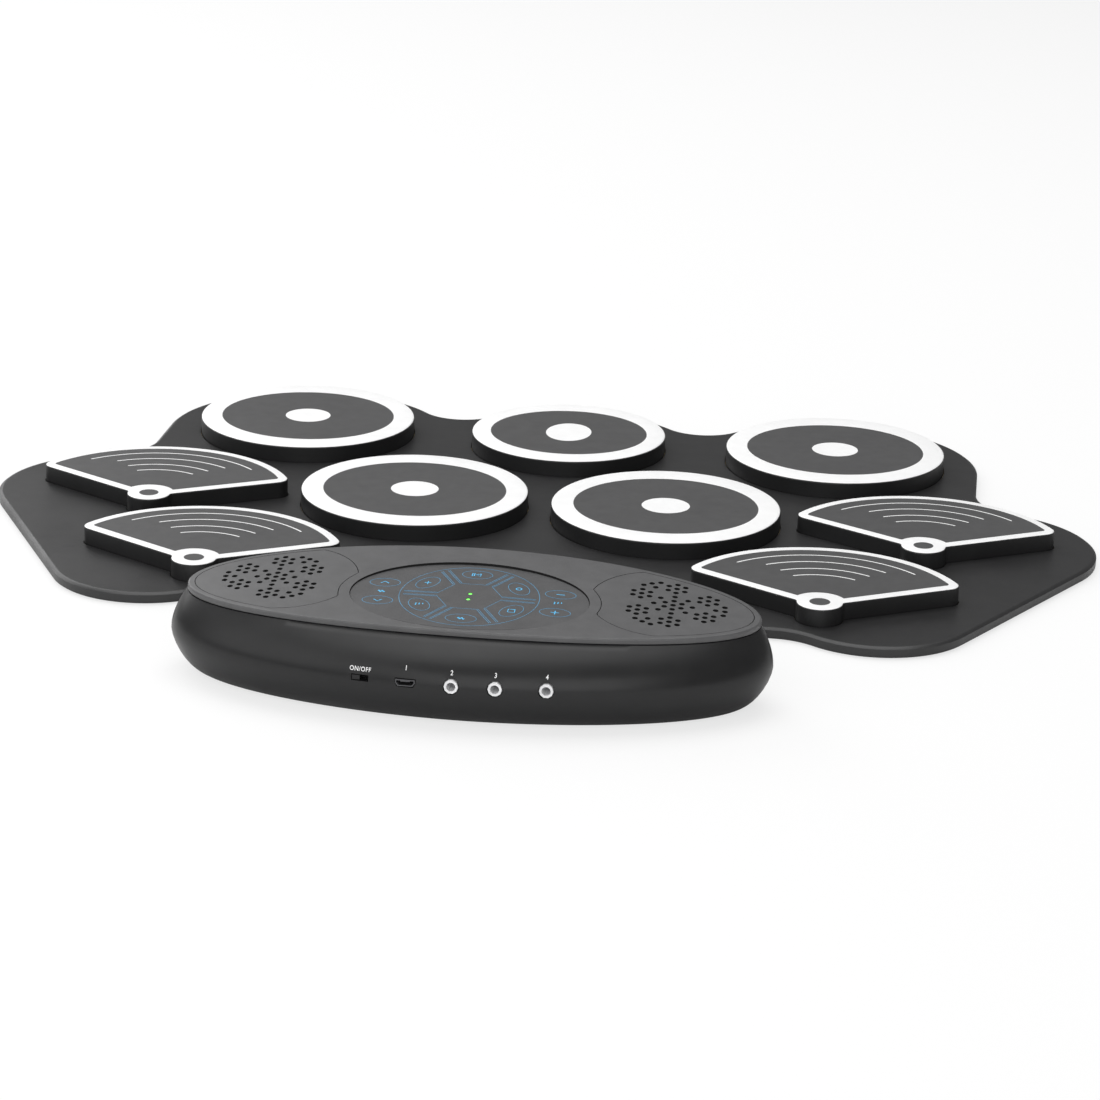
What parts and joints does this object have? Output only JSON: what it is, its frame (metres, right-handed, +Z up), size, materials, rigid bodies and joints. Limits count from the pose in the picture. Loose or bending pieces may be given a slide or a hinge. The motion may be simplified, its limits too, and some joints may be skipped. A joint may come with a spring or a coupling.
{
  "type": "roll-up electronic drum kit",
  "caption": "Flexible silicone mat with raised round and fan-shaped playing pads, joined to an oval console with speakers, touch keys and rear sockets.",
  "frame": {"origin": "centre of the kit's outline on the table", "axes": "+X from the player's left to right, +Y from the player towards the console, +Z up"},
  "size_m": [0.4828, 0.4099, 0.0415],
  "materials": {
    "mat_silicone": "satin moulded silicone",
    "backing_silicone": "matt silicone",
    "sensor_film": "printed polyester film",
    "pad_silicone": "satin silicone with white print",
    "foam": "open foam",
    "body_gloss": "polished black plastic",
    "cover_satin": "satin grey plastic",
    "speaker_cloth": "black acoustic cloth",
    "plated_steel": "nickel plate",
    "cone_paper": "treated paper",
    "magnet_ferrite": "ground ferrite",
    "touch_film": "satin film with blue print",
    "board_laminate": "green laminate",
    "lamp_green": "clear green lens",
    "connector_plastic": "black plastic",
    "cell_wrap": "film wrap",
    "ribbon": "grey ribbon",
    "foot_rubber": "matt rubber"
  },
  "bodies": {
    "root": {"mat_sheet": "mat_silicone", "mat_backing": "backing_silicone", "sensor_film": "sensor_film", "foam_spring_drum_front_middle": "foam", "foam_spring_drum_front_left": "foam", "foam_spring_drum_rear_left": "foam", "foam_spring_cymbal_outer_left": "foam", "foam_spring_cymbal_inner_left": "foam", "foam_spring_drum_front_right": "foam", "foam_spring_drum_rear_right": "foam", "foam_spring_cymbal_outer_right": "foam", "foam_spring_cymbal_inner_right": "foam", "console_body": "body_gloss", "top_cover": "cover_satin", "speaker_grille_left": "cover_satin", "speaker_grille_right": "cover_satin", "speaker_cloth_left": "speaker_cloth", "speaker_cloth_right": "speaker_cloth", "speaker_basket_left": "plated_steel", "speaker_basket_right": "plated_steel", "foot_pedal_jack": "plated_steel", "headphone_jack": "plated_steel", "line_in_jack": "plated_steel", "usb_socket": "plated_steel", "clamp_screw_left": "plated_steel", "clamp_screw_right": "plated_steel", "case_screw_left_front": "plated_steel", "case_screw_left_rear": "plated_steel", "case_screw_right_front": "plated_steel", "case_screw_right_rear": "plated_steel", "speaker_cone_left": "cone_paper", "speaker_cone_right": "cone_paper", "speaker_magnet_left": "magnet_ferrite", "speaker_magnet_right": "magnet_ferrite", "touch_panel": "touch_film", "touch_board": "board_laminate", "main_board": "board_laminate", "lamp_front": "lamp_green", "lamp_rear": "lamp_green", "board_connector": "connector_plastic", "tail_connector": "connector_plastic", "switch_body": "connector_plastic", "clamp_bar": "connector_plastic", "battery_cell": "cell_wrap", "ribbon_cable": "ribbon", "foot_left_front": "foot_rubber", "foot_left_rear": "foot_rubber", "foot_right_front": "foot_rubber", "foot_right_rear": "foot_rubber"},
    "drum_pad_front_middle": {"drum_pad_front_middle": "pad_silicone"},
    "drum_pad_front_left": {"drum_pad_front_left": "pad_silicone"},
    "drum_pad_rear_left": {"drum_pad_rear_left": "pad_silicone"},
    "cymbal_pad_outer_left": {"cymbal_pad_outer_left": "pad_silicone"},
    "cymbal_pad_inner_left": {"cymbal_pad_inner_left": "pad_silicone"},
    "drum_pad_front_right": {"drum_pad_front_right": "pad_silicone"},
    "drum_pad_rear_right": {"drum_pad_rear_right": "pad_silicone"},
    "cymbal_pad_outer_right": {"cymbal_pad_outer_right": "pad_silicone"},
    "cymbal_pad_inner_right": {"cymbal_pad_inner_right": "pad_silicone"},
    "switch_knob": {"switch_knob": "body_gloss"}
  },
  "joints": [
    {"name": "drum_pad_front_middle_press", "type": "slide", "parent": "root", "child": "drum_pad_front_middle", "axis": [0, 0, 1], "range_m": [-0.001, 0], "stiffness_N_per_m": 4000, "springref_m": 0.0004, "deforming": ["foam_spring_drum_front_middle"]},
    {"name": "drum_pad_front_left_press", "type": "slide", "parent": "root", "child": "drum_pad_front_left", "axis": [0, 0, 1], "range_m": [-0.001, 0], "stiffness_N_per_m": 4000, "springref_m": 0.0004, "deforming": ["foam_spring_drum_front_left"]},
    {"name": "drum_pad_rear_left_press", "type": "slide", "parent": "root", "child": "drum_pad_rear_left", "axis": [0, 0, 1], "range_m": [-0.001, 0], "stiffness_N_per_m": 4000, "springref_m": 0.0004, "deforming": ["foam_spring_drum_rear_left"]},
    {"name": "cymbal_pad_outer_left_press", "type": "slide", "parent": "root", "child": "cymbal_pad_outer_left", "axis": [0, 0, 1], "range_m": [-0.001, 0], "stiffness_N_per_m": 4000, "springref_m": 0.0004, "deforming": ["foam_spring_cymbal_outer_left"]},
    {"name": "cymbal_pad_inner_left_press", "type": "slide", "parent": "root", "child": "cymbal_pad_inner_left", "axis": [0, 0, 1], "range_m": [-0.001, 0], "stiffness_N_per_m": 4000, "springref_m": 0.0004, "deforming": ["foam_spring_cymbal_inner_left"]},
    {"name": "drum_pad_front_right_press", "type": "slide", "parent": "root", "child": "drum_pad_front_right", "axis": [0, 0, 1], "range_m": [-0.001, 0], "stiffness_N_per_m": 4000, "springref_m": 0.0004, "deforming": ["foam_spring_drum_front_right"]},
    {"name": "drum_pad_rear_right_press", "type": "slide", "parent": "root", "child": "drum_pad_rear_right", "axis": [0, 0, 1], "range_m": [-0.001, 0], "stiffness_N_per_m": 4000, "springref_m": 0.0004, "deforming": ["foam_spring_drum_rear_right"]},
    {"name": "cymbal_pad_outer_right_press", "type": "slide", "parent": "root", "child": "cymbal_pad_outer_right", "axis": [0, 0, 1], "range_m": [-0.001, 0], "stiffness_N_per_m": 4000, "springref_m": 0.0004, "deforming": ["foam_spring_cymbal_outer_right"]},
    {"name": "cymbal_pad_inner_right_press", "type": "slide", "parent": "root", "child": "cymbal_pad_inner_right", "axis": [0, 0, 1], "range_m": [-0.001, 0], "stiffness_N_per_m": 4000, "springref_m": 0.0004, "deforming": ["foam_spring_cymbal_inner_right"]},
    {"name": "switch_slide", "type": "slide", "parent": "root", "child": "switch_knob", "axis": [1, 0, 0], "range_m": [-0.003, 0]}
  ]
}
